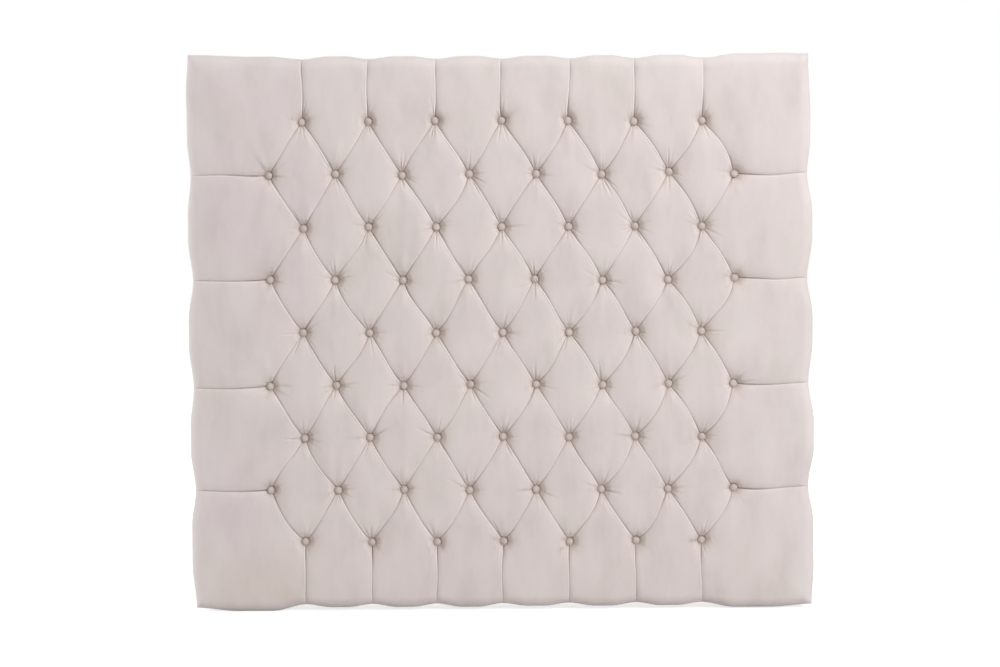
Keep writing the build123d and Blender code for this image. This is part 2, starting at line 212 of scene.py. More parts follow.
cover = {
    # heights
    "pit": 41.0,  # under a button
    "crease": 56.0,  # in the middle of a crease
    "crown": 60.0,  # in the middle of a diamond
    "edge": 51.5,  # where the front begins to turn over
    "pleatEdge": 45.5,  # and there in a pleat
    "levelLift": 25.0, "uprightLift": 12.0,  # of a pleat's middle, and what an upright one adds
    "widest": 22.0,  # where the edges stand out most
    "back": -57.3,  # behind the frame
    "boardGap": 0.3,  # in front of the board, where the pad is closed
    # puffs
    "climb": 0.48,  # a low power lets a crease climb at once beside a button
    "puffPower": 2.9,  # a high one lets a puff be full early
    "puffReach": 75.0,  # from a pleat to where its puff is full
    "crownSpread": 0.5,
    # outline: lines through the corners, and ways in from it
    "cornerX": 700.0, "lowLine": 8.0, "highLine": 1258.0,
    "roll": 28.0,  # to where the front begins to turn over
    "taper": 12.0,  # to the velvet's back edge
    # how far cells and pleats stand out, from the left or from the bottom
    "bulges": {"left": (9.5, 10.5, 12.0, 10.0, 10.0), "right": (9.0, 9.5, 6.0, 4.0, -1.0),
               "top": (2.0, 2.0, 2.0, 2.0, 2.0, 2.0, 2.0, 5.0),
               "bottom": (8.0, 1.0, 1.0, 1.0, 1.0, 1.0, 1.0, 6.0)},
    "pleats": {"left": (0.0, 2.0, 0.0, 3.0), "right": (-3.0, -3.0, -7.0, -8.0),
               "top": (-4.5,) * 7, "bottom": (-6.0,) * 7},
    # and corner tips, across and up or down
    "tips": {("top", "left"): (6.0, 6.0), ("top", "right"): (-7.0, 4.0),
             ("bottom", "left"): (1.0, 0.0), ("bottom", "right"): (6.0, 0.0)},
    "bulgeSpread": 0.5,
    "scallopRise": 0.38,  # share of a cell's width in which its bulge is reached
    "tuckFade": 0.3, "bulgeFade": 0.62, "tipFrom": 0.5, "cornerSteps": 41,  # along a corner's legs
    # pleats: stray of the outer end, bow, bow of level ones on average, lip
    "pleatStray": 2.0, "pleatBow": 1.8, "pleatSag": 2.5, "pleatLip": 0.7,
    # back edge, as ways in and back from the wall's end: rounding, strip on the back, its inner side
    "hem": ((0.9, 2.1), (3.0, 3.0), (10.0, 3.0), (45.0, 3.0), (45.0, 0.0), (3.0, 0.0)),
    "thickness": 3.0,
    # width of a margin between its pleats, and way from the creases to the edge
    "upright": (150, 220), "level": (238, 210), "corner": (515, 230),
    # mesh rows, how they crowd towards the creases, and from where a corner has twice the columns
    "frontRows": 24, "rollRows": 8, "wallRows": 8, "rowCrowding": 1.6, "doubledFrom": 7,
    "seed": 5,
}


# Rises steeply from 0 and ends level at 1: the root of one less a power of the share that is left
def puffed(share):
    return np.sqrt(np.clip(1 - (1 - np.clip(share, 0, 1)) ** cover["puffPower"], 0, 1))


# Height of a crease as a share of the way from the pit to the crown: a power of the sine of its length
def creaseShare(share, depth=1.0):
    full = (cover["crease"] - cover["pit"]) / (cover["crown"] - cover["pit"])
    return full * depth * np.sin(math.pi * np.clip(share, 0, 1)) ** cover["climb"]


class Patches:
    # Gathers the cover's patches as flat arrays, for one mesh at the end
    def __init__(self):
        self.points, self.weights, self.faces, self.count = [], [], [], 0

    def add(self, places, height, front, flipped):
        first, (rows, columns) = self.count, height.shape
        self.points.append(np.concatenate([places, height[..., None]], axis=-1).reshape(-1, 3))
        self.weights.append(front.reshape(-1))
        faces = gridFaces(rows, columns, first)
        self.faces += [face[::-1] for face in faces] if flipped else faces
        self.count += rows * columns
        return first


patches = Patches()
random = np.random.default_rng(cover["seed"])

# A diamond between four buttons: both pairs of opposite creases are blended across it, less the
# blend of its corners, which both pairs hold. Its height rises from the creases to the crown by
# the product of two puffs.
for row in range(1, buttoning["rows"] - 1):
    for number in range(len(buttonRows[row]) - 1):
        below = number + 1 - row % 2  # button under the middle of the diamond
        lowLeft, lowRight = creases[row - 1, below, 0], creases[row - 1, below, 1]
        highLeft, highRight = creases[row, number, 1], creases[row, number + 1, 0]
        s, t = creaseSteps[:, None], creaseSteps[None, :]
        s3, t3 = s[..., None], t[..., None]
        corners = ((1 - s3) * (1 - t3) * lowLeft.start + s3 * (1 - t3) * lowLeft.end
                   + (1 - s3) * t3 * lowRight.end + s3 * t3 * highLeft.end)
        places = ((1 - t3) * lowLeft.at(creaseSteps)[:, None] + t3 * highRight.at(creaseSteps)[:, None]
                  + (1 - s3) * lowRight.at(creaseSteps)[None, :] + s3 * highLeft.at(creaseSteps)[None, :]
                  - corners)
        alongS = (1 - t) * creaseShare(s, lowLeft.depth) + t * creaseShare(s, highRight.depth)
        alongT = (1 - s) * creaseShare(t, lowRight.depth) + s * creaseShare(t, highLeft.depth)
        base = alongS + alongT - alongS * alongT
        puff = puffed(2 * np.minimum(s, 1 - s)) * puffed(2 * np.minimum(t, 1 - t))
        swell = random.normal(0, cover["crownSpread"]) * np.sin(math.pi * s) * np.sin(math.pi * t)
        crown = cover["crown"] - cover["pit"] + swell
        height = cover["pit"] + crown * (base + (1 - base) * puff)
        patches.add(places, height, np.ones_like(height), False)
print("Diamonds done:", patches.count, "points")


# A rim is three rows of pairs: places on the outline, the way out at each, and places on the velvet's
# back edge. It is given by an end of the cover, a coordinate along it and how far it stands out
# there. The way out leans along the end by the tilt.
def rimAt(end, along, out, tilt=0.0):
    along, out, tilt = np.broadcast_arrays(np.asarray(along, float), out, tilt)
    sign = 1 if end in ("top", "right") else -1
    line = {"top": cover["highLine"], "bottom": cover["lowLine"]}.get(end, sign * cover["cornerX"])
    across, outward = line + sign * out, np.full_like(along, sign)
    straight = line - sign * cover["taper"] + 0 * along
    backAlong = along - cover["taper"] * tilt
    pairs = [(along, across), (tilt, outward), (backAlong, straight)]
    return np.array([np.stack(pair if end in ("top", "bottom") else pair[::-1], -1) for pair in pairs])


class Pleat(Line):
    # From an end button to where the front begins to turn over the edge, with its tip on the outline
    def __init__(self, place, end, number, random):
        self.upright = end in ("top", "bottom")
        self.out = cover["pleats"][end][number]
        along = place[0 if self.upright else 1] + random.normal(0, cover["pleatStray"])
        self.tip, direction, back = rimAt(end, [along], self.out)[:, 0]
        sag = {"left": 1, "right": -1}.get(end, 0) * cover["pleatSag"]
        super().__init__(place, self.tip - cover["roll"] * direction, random, cover["pleatBow"], sag,
                         lip=cover["pleatLip"])


pleats = {}
for end, row in (("top", buttoning["rows"] - 1), ("bottom", 0)):
    for number, place in enumerate(buttonRows[row]):
        pleats[end, number] = Pleat(place, end, number, random)
for row in range(1, buttoning["rows"], 2):
    pleats["left", row] = Pleat(buttonRows[row][0], "left", row // 2, random)
    pleats["right", row] = Pleat(buttonRows[row][-1], "right", row // 2, random)


# Pairs of values at new shares of the way, by straight lines between the known ones
def between(shares, known, values):
    return np.stack([np.interp(shares, known, column) for column in values.T], -1)


# The inner side of a margin: places and depths along creases, taken forwards (1) or backwards (-1)
def innerSide(*runs):
    places = [creases[key].at(creaseSteps)[::way] for key, way in runs]
    depths = [creaseShare(creaseSteps, creases[key].depth) for key, way in runs]
    return [np.concatenate([parts[0], *[part[1:] for part in parts[1:]]]) for parts in (places, depths)]


# Everything past the outermost creases and up to the edge, over it and onto the back. share runs
# along the inner side from one pleat to the other, and v from there to the edge. A place is the
# straight blend between the two, with each pleat's bend added by a cube of its nearness.
def marginPatch(share, inner, rim, pleatA, pleatB, size, flipped, doubled=False):
    span, reach = size
    v = np.linspace(0, 1, cover["frontRows"] + 1) ** cover["rowCrowding"]
    blocks = [(share, v)]
    if doubled:
        fine = np.sort(np.concatenate([share, (share[1:] + share[:-1]) / 2]))
        blocks = [(share, v[:cover["doubledFrom"]]), (fine, v[cover["doubledFrom"]:])]
    added = []
    for number, (columns, rows) in enumerate(blocks):
        start, outline, direction, back = [between(columns, share, side) for side in (inner[0], *rim)]
        depth = np.interp(columns, share, inner[1])
        turn = outline - cover["roll"] * direction
        r, c = rows[:, None, None], columns[None, :, None]
        places = (1 - r) * start + r * turn
        for pleat, weight in ((pleatA, (1 - c) ** 3), (pleatB, c ** 3)):
            straight = pleat.start + np.outer(rows, pleat.end - pleat.start)
            places = places + weight * (pleat.at(rows) - straight)[:, None]
        up = rows[:, None]
        crown = cover["edge"] + (cover["crown"] - cover["edge"]) * (1 - up ** 2) - cover["pit"]
        uprightShare = (1 - columns) * pleatA.upright + columns * pleatB.upright
        lift = cover["levelLift"] + cover["uprightLift"] * uprightShare
        valley = ((cover["pleatEdge"] - cover["pit"]) * up + lift * (up * (1 - up))) / crown
        base = depth + valley - depth * valley
        sideways = puffed(np.minimum(columns, 1 - columns) * span / cover["puffReach"])[None, :]
        upwards = puffed(up * reach / cover["puffReach"])
        height = cover["pit"] + crown * (base + (1 - base) * sideways * upwards)
        front = np.ones_like(height)
        if number == len(blocks) - 1:
            places, height, front = overEdge(places, height, front, turn, outline, direction, back)
        added.append((patches.add(places, height, front, flipped), len(rows)))
    if doubled:  # five-sided faces join the coarse block to the fine one
        (first, rowCount), (second, _) = added
        column = np.arange(len(share) - 1)
        near, far = first + (rowCount - 1) * len(share) + column, second + 2 * column
        joins = np.stack([near, near + 1, far + 2, far + 1, far], -1).tolist()
        patches.faces.extend([face[::-1] for face in joins] if flipped else joins)


# Rows that carry the velvet on: a quarter turn over the edge, the side wall, the hem on the frame's
# back, and inside it forwards to the board, so that the pad is closed
def overEdge(places, height, front, turn, outline, direction, back):
    rows, heights, fronts = [], [], []
    level = height[-1]
    for angle in np.linspace(0, math.pi / 2, cover["rollRows"] + 1)[1:]:
        rows.append(turn + cover["roll"] * math.sin(angle) * direction)
        heights.append(cover["widest"] + (level - cover["widest"]) * math.cos(angle))
        fronts.append(math.cos(angle) ** 2)
    wallEnd = cover["back"] + cover["thickness"]
    for share in np.linspace(0, 1, cover["wallRows"] + 1)[1:]:
        rows.append(outline + (back - outline) * share)
        heights.append(np.full_like(level, cover["widest"] + (wallEnd - cover["widest"]) * share))
    inward = [(inset, wallEnd - down) for inset, down in cover["hem"]]
    for inset, flat in inward + [(cover["thickness"], cover["boardGap"])]:
        rows.append(back - inset * direction)
        heights.append(np.full_like(level, flat))
    fronts += [0] * (len(rows) - len(fronts))
    added = np.broadcast_to(np.array(fronts, float)[:, None], (len(rows), len(level)))
    return (np.concatenate([places, np.array(rows)]), np.concatenate([height, np.array(heights)]),
            np.concatenate([front, added]))


# Stands out by the pleats' own measure at both ends and by the bulge's in the middle
def scallop(share, out, bulge):
    return out + (bulge - out) * smoothStep(np.minimum(share, 1 - share), 0, cover["scallopRise"])


twice = np.concatenate([creaseSteps / 2, 0.5 + creaseSteps[1:] / 2])


# A margin between two pleats of one end
def straightMargin(end, inner, pleatA, pleatB, cell, size, flipped):
    axis = 0 if pleatA.upright else 1
    a, b = pleatA.tip[axis], pleatB.tip[axis]
    outs = (1 - twice) * pleatA.out + twice * pleatB.out
    bulge = cover["bulges"][end][cell] + random.normal(0, cover["bulgeSpread"])
    rim = rimAt(end, a + (b - a) * twice, scallop(twice, outs, bulge))
    marginPatch(twice, inner, rim, pleatA, pleatB, size, flipped)


# Over the half diamonds that the last two rows of buttons hold
for end, row in (("top", buttoning["rows"] - 1), ("bottom", 0)):
    for number in range(len(buttonRows[row]) - 1):
        if end == "top":
            inner = innerSide(((row - 1, number + 1, 0), -1), ((row - 1, number + 1, 1), 1))
        else:
            inner = innerSide(((row, number, 1), 1), ((row, number + 1, 0), -1))
        straightMargin(end, inner, pleats[end, number], pleats[end, number + 1], number + 1,
                       cover["upright"], end == "top")

# and beside those that the rows' outer buttons hold
for side, end in enumerate(("left", "right")):
    for row in range(1, buttoning["rows"] - 2, 2):
        outer, above = [side * (len(buttonRows[r]) - 1) for r in (row, row + 1)]
        inner = innerSide(((row, outer, 1 - side), 1), ((row + 1, above, side), 1))
        straightMargin(end, inner, pleats[end, row], pleats[end, row + 2], row // 2 + 1,
                       cover["level"], end == "left")


# At a corner the rim runs from the upright pleat to the tip and on to the level pleat. Each leg
# stands out by its pleat's measure, then by its bulge and at last by the tip's, with smooth steps
# between, and its way out leans towards the corner by a cube.
def cornerRim(end, side, pleatA, pleatB):
    up, sign = (1 if end == "top" else -1), (1 if side == "right" else -1)
    tip = cover["tips"][end, side]
    tipZ = (cover["highLine"] if end == "top" else cover["lowLine"]) + up * tip[1]
    legA = abs(sign * (cover["cornerX"] + tip[0]) - pleatA.tip[0])
    legB = abs(tipZ - pleatB.tip[1])
    tipShare = creaseSteps[np.argmin(np.abs(creaseSteps - legA / (legA + legB)))]
    f = np.linspace(0, 1, cover["cornerSteps"])
    tucked = smoothStep(f, 0, cover["tuckFade"])
    swell = tucked * (1 - smoothStep(f, cover["bulgeFade"], 1))
    bulgeA = cover["bulges"][end][-1 if side == "right" else 0]
    bulgeB = cover["bulges"][side][-1 if end == "top" else 0]
    outA, outB = [pleat.out * (1 - tucked) + bulge * swell + tipOut * smoothStep(f, cover["tipFrom"], 1)
                  for pleat, bulge, tipOut in ((pleatA, bulgeA, tip[1]), (pleatB, bulgeB, tip[0]))]
    rimA = rimAt(end, pleatA.tip[0] + sign * legA * f, outA, sign * f ** 3)
    rimB = rimAt(side, pleatB.tip[1] + up * legB * f, outB, up * f ** 3)
    whole = np.concatenate([rimA, rimB[:, -2::-1]], axis=1)
    known = np.concatenate([f * tipShare, tipShare + (1 - tipShare) * f[1:]])
    outline, direction, back = [between(creaseSteps, known, values) for values in whole]
    inside = cover["cornerX"] - cover["taper"], cover["highLine"] - cover["taper"]
    return outline, direction, np.clip(back, (-inside[0], cover["lowLine"] + cover["taper"]), inside)


for end, lastRow, nextRow in (("top", buttoning["rows"] - 1, buttoning["rows"] - 2), ("bottom", 0, 1)):
    for number, side in enumerate(("left", "right")):
        last, outer = [number * (len(buttonRows[r]) - 1) for r in (lastRow, nextRow)]
        run = ((nextRow, outer, 1 - number), -1) if end == "top" else ((lastRow, last, number), 1)
        pleatA, pleatB = pleats[end, last], pleats[side, nextRow]
        marginPatch(creaseSteps, innerSide(run), cornerRim(end, side, pleatA, pleatB), pleatA, pleatB,
                    cover["corner"], (end == "top") == (side == "right"), doubled=True)
print("Margins and edges done:", patches.count, "points")

points = np.concatenate(patches.points)
front = np.concatenate(patches.weights)


# What the buttons and the foam do to the velvet

pull = {
    "floorRadius": 8.2, "sinkWidth": 13.0,  # level floor under a button, and the way up from it
    "dimple": 6.0, "dimpleWidth": 36.0,
    "puckers": 12,
    "mainWays": 4, "waySpread": 0.35,  # so many lie near the main ways, with a spread in radians
    "full": 6, "weaker": 0.6,  # so many have their full depth, and the others' share
    "puckerLength": (28, 66), "puckerDepth": 2.9, "depthShare": (0.35, 1.0), "puckerWidth": (0.9, 2.0),
    "widening": 0.04, "flank": 1.3, "puckerStart": (9, 13), "puckerFade": 0.35,
    # soft ridges up and down from a button
    "streakHeight": 1.9, "streakShare": (0.3, 1.0), "streakLength": (60, 100), "streakSpread": 0.12,
    "streakWidth": 4.5, "streakWidening": 0.09, "streakStart": (14, 34), "streakFade": 0.5,
    "waves": 14, "waveLength": (60, 260), "waveSpread": 2.6, "unevenness": 0.55, "waveStart": (12, 40),
}


# Every point's nearest button, with the distance and the angle from it
def nearestButton(points):
    places = np.concatenate(buttonRows)
    gap = points[:, None, :2] - places[None]
    distance = np.hypot(gap[..., 0], gap[..., 1])
    nearest = distance.argmin(axis=1)
    gap = gap[np.arange(len(points)), nearest]
    return nearest, distance[np.arange(len(points)), nearest], np.arctan2(gap[:, 1], gap[:, 0])


# Sideways distance from a ray out of the nearest button, and whether the point lies ahead on it
def besideRay(turn):
    return radius * np.sin(angle - turn[nearest]), np.cos(angle - turn[nearest]) > 0


# 1 along a ray, with a smooth start and a smooth end at its length
def rayFade(start, length, fade):
    return smoothStep(radius, *start) * (1 - smoothStep(radius, fade * length[nearest], length[nearest]))


# The velvet goes down by a square root round a button, to the level floor under it
nearest, radius, angle = nearestButton(points)
sink = np.clip((radius - pull["floorRadius"]) / pull["sinkWidth"], 0, 1) ** 0.5
points[:, 2] = np.where(front > 0.5, cover["pit"] + (points[:, 2] - cover["pit"]) * sink, points[:, 2])
points[:, 2] -= pull["dimple"] * np.exp(-(radius / pull["dimpleWidth"]) ** 1.5) * sink * front

# Puckers run out from each button: narrow valleys with raised flanks at uneven angles, which
# grow wider and fade with the distance
random = np.random.default_rng(cover["seed"] + 1)
total = len(np.concatenate(buttonRows))
puckerHeight = np.zeros(len(points))
for pucker in range(pull["puckers"]):
    if pucker < pull["mainWays"]:
        turn = np.full(total, pucker * math.pi / 2) + random.normal(0, pull["waySpread"], total)
    else:
        turn = random.uniform(0, 2 * math.pi, total)
    length = random.uniform(*pull["puckerLength"], total)
    share = random.uniform(*pull["depthShare"], total)
    depth = pull["puckerDepth"] * share * (1.0 if pucker < pull["full"] else pull["weaker"])
    width = random.uniform(*pull["puckerWidth"], total)
    off, ahead = besideRay(turn)
    ratio = off / (width[nearest] + pull["widening"] * radius)
    fade = rayFade(pull["puckerStart"], length, pull["puckerFade"])
    valley = depth[nearest] * fade * (pull["flank"] * ratio ** 2 - 1) * np.exp(-ratio ** 2)
    puckerHeight += np.where(ahead, valley, 0)
for way in (0.5, -0.5):
    turn = way * math.pi + random.normal(0, pull["streakSpread"], total)
    length = random.uniform(*pull["streakLength"], total)
    high = pull["streakHeight"] * random.uniform(*pull["streakShare"], total)
    off, ahead = besideRay(turn)
    across = off / (pull["streakWidth"] + pull["streakWidening"] * radius)
    fade = rayFade(pull["streakStart"], length, pull["streakFade"])
    puckerHeight += np.where(ahead, high[nearest] * fade * np.exp(-across ** 2), 0)
points[:, 2] += puckerHeight * front


# Creases and pleats, where the fold is tucked under and leaves a lip along one side. Each line also gets
# painted shade along it and a painted highlight on its lip.

fold = {
    "reach": 12,  # how far from a line it is seen
    "lipHeight": 1.4, "lipPlace": 2.4, "lipWidth": 1.05,
    "groove": 0.2, "groovePlace": 3.6, "grooveWidth": 2.2,  # beyond the lip
    "lipEnds": 0.35,  # power of the sine by which a crease's lip grows from its ends
    "pleatStart": (0, 0.06), "pleatFade": 0.6,  # a pleat's lip: its start, and what it loses
    # painted shade along the line: strength, what its lip takes, what is added near a button and how
    # soon that fades
    "line": 0.36, "lipTakes": 0.12, "buttonAdds": 0.26, "buttonFade": 2.4,
    # an upright pleat's painted line is weaker, with a finer painted line beside it and soft painted
    # shade on the other side
    "uprightShare": 0.5, "finer": 0.12, "finerPlace": 5.3, "finerStart": (0.02, 0.12),
    "soft": 0.055, "softPlace": 6.5, "softWidth": 3,
    "pleatShare": 1.3,  # a pleat goes on so far over the edge, as a share of its length
}

lipHeight, lipLight, paintedCreaseShade = np.zeros((3, len(points)))
for line in list(creases.values()) + list(pleats.values()):
    isPleat = isinstance(line, Pleat)
    rel = points[:, :2] - line.start
    share = rel @ line.direction / line.length
    off = rel @ line.side - line.offset(np.minimum(share, 1))
    inside = (share > 0) & (share < (fold["pleatShare"] if isPleat else 1))
    near = inside & (np.abs(off) < fold["reach"]) & (front > (0.05 if isPleat else 0.5))
    share, off = share[near], off[near]
    if isPleat:
        ends = (1 - np.minimum(share, 1) * fold["pleatFade"]) * smoothStep(share, *fold["pleatStart"])
        toButton = np.minimum(share, 1)
    else:
        ends = np.sin(math.pi * np.clip(share, 0, 1)) ** fold["lipEnds"]
        toButton = np.minimum(share, 1 - share)
    lower = off * (-1 if line.direction[1] < -0.5 or line.direction[0] > 0.9 else 1)
    lip = np.exp(-((lower - fold["lipPlace"]) / fold["lipWidth"]) ** 2)
    groove = np.exp(-((lower - fold["lipPlace"] - fold["groovePlace"]) / fold["grooveWidth"]) ** 2)
    lipHeight[near] += fold["lipHeight"] * line.lip * ends * (lip - fold["groove"] * groove)
    # painted highlight along the lip
    lipLight[near] = np.maximum(lipLight[near], line.lip * ends * lip)
    # painted shade along the line, stronger near a button
    nearButton = fold["buttonAdds"] * np.clip(1 - fold["buttonFade"] * toButton, 0, 1)
    strength = np.exp(-np.abs(off) ** 1.5) * (fold["line"] - fold["lipTakes"] * line.lip + nearButton)
    if isPleat and line.upright:
        finer = fold["finer"] * np.exp(-np.abs(lower - fold["finerPlace"]) ** 1.5)
        finer = finer * smoothStep(share, *fold["finerStart"])
        soft = fold["soft"] * np.exp(-((lower + fold["softPlace"]) / fold["softWidth"]) ** 2)
        strength = np.maximum.reduce([fold["uprightShare"] * strength, finer, soft])
    paintedCreaseShade[near] = np.maximum(paintedCreaseShade[near], strength)
points[:, 2] += lipHeight * front

# Slow unevenness of the foam: a sum of sines in many directions
uneven = np.zeros(len(points))
for wave in range(pull["waves"]):
    heading, size = random.uniform(0, 2 * math.pi), random.uniform(*pull["waveLength"])
    phase = (points[:, 0] * math.cos(heading) + points[:, 1] * math.sin(heading)) * 2 * math.pi / size
    uneven += np.sin(phase + random.uniform(0, 2 * math.pi)) * random.uniform(0.4, 1)
calm = smoothStep(radius, *pull["waveStart"])
points[:, 2] += pull["unevenness"] * uneven / pull["waveSpread"] * front * calm

velvetCover = addMesh("velvetCover", toMetres(*points.T), patches.faces)


# Painted shade, highlight and sheen, and a darker patch, as shares that the velvet's finish reads from
# the points

pile = {
    # painted shade round a button: on average, what its darker side adds, that side's angle, where it
    # fades
    "ring": 0.45, "ringMean": 0.62, "ringSide": 0.38, "ringWay": 0.9, "ringFade": (9.5, 14),
    "halo": 0.06, "haloFade": (11, 30),
    "shadeAside": 8, "shadeWidth": 20,  # painted warm shade to the right of a button
    # a wide darker, warmer patch in the lower left corner
    "patch": 0.45, "patchPlace": (-560, 62), "patchSize": (95, 62),
    # painted sheen: paler towards the left, right and top edges, and less so on the walls
    "edgeSheen": 0.5, "edgeSheenFrom": 6, "edgeSheenWidth": 18, "edgeSheenOnWalls": 0.1,
}

# Painted shade round each button, darkest on its upper right side, with a faint wider ring, added to the
# painted crease shade
ring = pile["ringMean"] + pile["ringSide"] * np.cos(angle - pile["ringWay"])
ring = ring * (1 - smoothStep(radius, *pile["ringFade"]))
halo = pile["halo"] * (1 - smoothStep(radius, *pile["haloFade"]))
shade = np.clip(paintedCreaseShade + pile["ring"] * ring + halo, 0, 1) * front
# Painted warm shade to the right of each button, and a wide darker, warmer patch in the lower left
beside = np.hypot(radius * np.cos(angle) - pile["shadeAside"], radius * np.sin(angle))
fromPatch = (points[:, :2] - pile["patchPlace"]) / pile["patchSize"]
patch = np.exp(-fromPatch[:, 0] ** 4 - fromPatch[:, 1] ** 4)
shadeAndPatch = np.maximum(np.exp(-(beside / pile["shadeWidth"]) ** 1.5), pile["patch"] * patch) * front
# Painted sheen, paler towards the left, right and top edges and less on the walls
toSide = cover["cornerX"] + pile["edgeSheenFrom"] - np.abs(points[:, 0])
edgeGap = np.clip(np.minimum(toSide, cover["highLine"] - points[:, 1]), 0, None)
sheenWeight = pile["edgeSheenOnWalls"] + (1 - pile["edgeSheenOnWalls"]) * front
edgePale = pile["edgeSheen"] * np.exp(-edgeGap / pile["edgeSheenWidth"]) * sheenWeight
for name, values in (("creaseShade", shade), ("lipLight", lipLight * front), ("pressedPile", shadeAndPatch),
                     ("edgePale", edgePale)):
    attribute = velvetCover.data.attributes.new(name, "FLOAT", "POINT")
    attribute.data.foreach_set("value", values.astype(np.float32))
clean(velvetCover, 0.02 * mm, filled=True)
print("Cover done:", len(velvetCover.data.polygons), "faces")
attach(velvetCover, body)
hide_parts("velvet_cover", "foam_pad", "edge_wadding_left", "edge_wadding_right",
            "edge_wadding_top", "edge_wadding_bottom")


# Covered buttons

button = {
    "profile": ((7.0, 0.0), (8.3, 0.3), (8.7, 1.1), (8.5, 2.2), (7.8, 3.4), (6.9, 4.7), (5.9, 5.8),
                (4.6, 6.6), (3.0, 7.05), (1.4, 7.3), (0.6, 7.35)),  # radius and height
    "base": 41.3, "lift": 0.4,
    "sides": 28,
    "tilt": 0.12,  # radians, as a spread
    "stray": 0.3,
    "gathers": 0.16, "gatherCount": 9, "gatherRadius": 9.6,  # folds of the cloth round the rim
    "seed": 23,
}


# A profile turned about the button's own axis, for all buttons at once. Gathers are a sine of
# the angle that fades towards the middle by a cube.
def buttonShells(values):
    random = np.random.default_rng(values["seed"])
    places = np.concatenate(buttonRows)
    r, h = np.array(values["profile"]).T
    turn = np.arange(values["sides"]) * 2 * math.pi / values["sides"]
    count = len(places)
    folds = np.sin(values["gatherCount"] * turn + random.uniform(0, 6, (count, 1, 1)))
    rimShare = (r / values["gatherRadius"])[None, :, None] ** 3
    ring = r[None, :, None] * (1 + values["gathers"] / values["gatherRadius"] * folds * rimShare)
    x, z = ring * np.cos(turn), ring * np.sin(turn)
    lean = random.normal(0, values["tilt"], (2, count, 1, 1))
    height = values["base"] + h[None, :, None] + lean[0] * x + lean[1] * z + values["lift"]
    x = x + places[:, 0][:, None, None] + random.normal(0, values["stray"], (count, 1, 1))
    z = z + places[:, 1][:, None, None]
    return toMetres(x, z, height), tubeFaces(count, len(r), values["sides"])


velvetButtons = addMesh("velvetButtons", *buttonShells(button))
clean(velvetButtons, 0.001 * mm)
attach(velvetButtons, body)
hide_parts(*["button_row_%d" % (row + 1) for row in range(buttoning["rows"])])
print("Buttons done:", len(velvetButtons.data.polygons), "faces")


# Dust lining on the back

lining = {
    "halfWidth": 676.0, "low": 32.0, "high": 1234.0,
    "front": -57.6, "drop": 0.4,  # height of the velvet's back, and how far behind it the cloth lies
    "thickness": 0.7,
    "step": 9,  # of the mesh
    "cut": 22.0,
    "cutX": (-412.5, 412.5), "cutZ": (200.0, 600.0),
    "stapleSpacing": 62.0,
    "stapleInset": 7.0,
    "scallop": 1.6, "scallopFade": 12,  # the edge draws back between two staples
    "pucker": 0.35, "puckerFade": 16,  # and stands off a little
    "ripples": 9, "rippleLength": (70, 190), "rippleHeight": 0.14, "onFrame": (40, 95),
    "seed": 41,
}


# How many steps between staples an edge of this length holds
def stapleCount(length):
    return max(2, int(round((length - 2 * lining["stapleInset"]) / lining["stapleSpacing"])))


# 0 at each staple along an edge and 1 between two: the square of a sine
def betweenStaples(along, length):
    share = (along - lining["stapleInset"]) / (length - 2 * lining["stapleInset"])
    return np.sin(math.pi * share * stapleCount(length)) ** 2


# Mesh lines at even steps, with one more at each side of each cut
def meshLines(low, high, cuts):
    even = np.linspace(low, high, int((high - low) / lining["step"]))
    return np.unique([*even, *[cut + way * lining["cut"] / 2 for cut in cuts for way in (-1, 1)]])


# A flat sheet without its cuts. Its edges draw back and stand off between the staples, which fades
# inwards by an exponential, and ripples as a sum of sines lie where no batten is behind it.
def liningSheet(values):
    random = np.random.default_rng(values["seed"])
    halfCut, halfWidth = values["cut"] / 2, values["halfWidth"]
    xs = meshLines(-halfWidth, halfWidth, values["cutX"])
    zs = meshLines(values["low"], values["high"], values["cutZ"])
    x, z = np.meshgrid(xs, zs)
    acrossEdge = np.minimum(x + halfWidth, halfWidth - x)
    upEdge = np.minimum(z - values["low"], values["high"] - z)
    waveX = betweenStaples(x + halfWidth, 2 * halfWidth)
    waveZ = betweenStaples(z - values["low"], values["high"] - values["low"])
    drawZ = values["scallop"] * waveX * np.exp(-upEdge / values["scallopFade"])
    drawX = values["scallop"] * waveZ * np.exp(-acrossEdge / values["scallopFade"])
    x = x - np.sign(x) * drawX
    z = z + np.where(z < (values["low"] + values["high"]) / 2, 1, -1) * drawZ
    sag = np.zeros_like(x)
    for ripple in range(values["ripples"]):
        heading, size = random.uniform(-0.5, 0.5), random.uniform(*values["rippleLength"])
        phase = (x * math.cos(heading) + z * math.sin(heading)) * 2 * math.pi / size
        sag += np.sin(phase + random.uniform(0, 6)) * random.uniform(0.3, 1)
    free = smoothStep(np.minimum(acrossEdge, upEdge), *values["onFrame"])
    standing = (waveX * np.exp(-upEdge / values["puckerFade"])
                + waveZ * np.exp(-acrossEdge / values["puckerFade"]))
    height = values["front"] + values["rippleHeight"] * sag * free - values["pucker"] * standing
    keep = np.ones((len(zs) - 1, len(xs) - 1), bool)
    middleX, middleZ = (xs[1:] + xs[:-1]) / 2, (zs[1:] + zs[:-1]) / 2
    for cutX in values["cutX"]:
        for cutZ in values["cutZ"]:
            insideZ, insideX = np.abs(middleZ - cutZ) < halfCut, np.abs(middleX - cutX) < halfCut
            keep &= ~(insideZ[:, None] & insideX[None, :])
    faces = np.array(gridFaces(len(zs), len(xs)))[keep.reshape(-1)]
    return toMetres(x, z, height - values["drop"]), faces[:, ::-1].tolist()


dustLining = addMesh("dustLining", *liningSheet(lining))
clean(dustLining, 0.001 * mm, outward=False)
wall = dustLining.modifiers.new("cloth", "SOLIDIFY")
wall.thickness = lining["thickness"] * mm
wall.offset = 0
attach(dustLining, body)
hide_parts("back_lining")


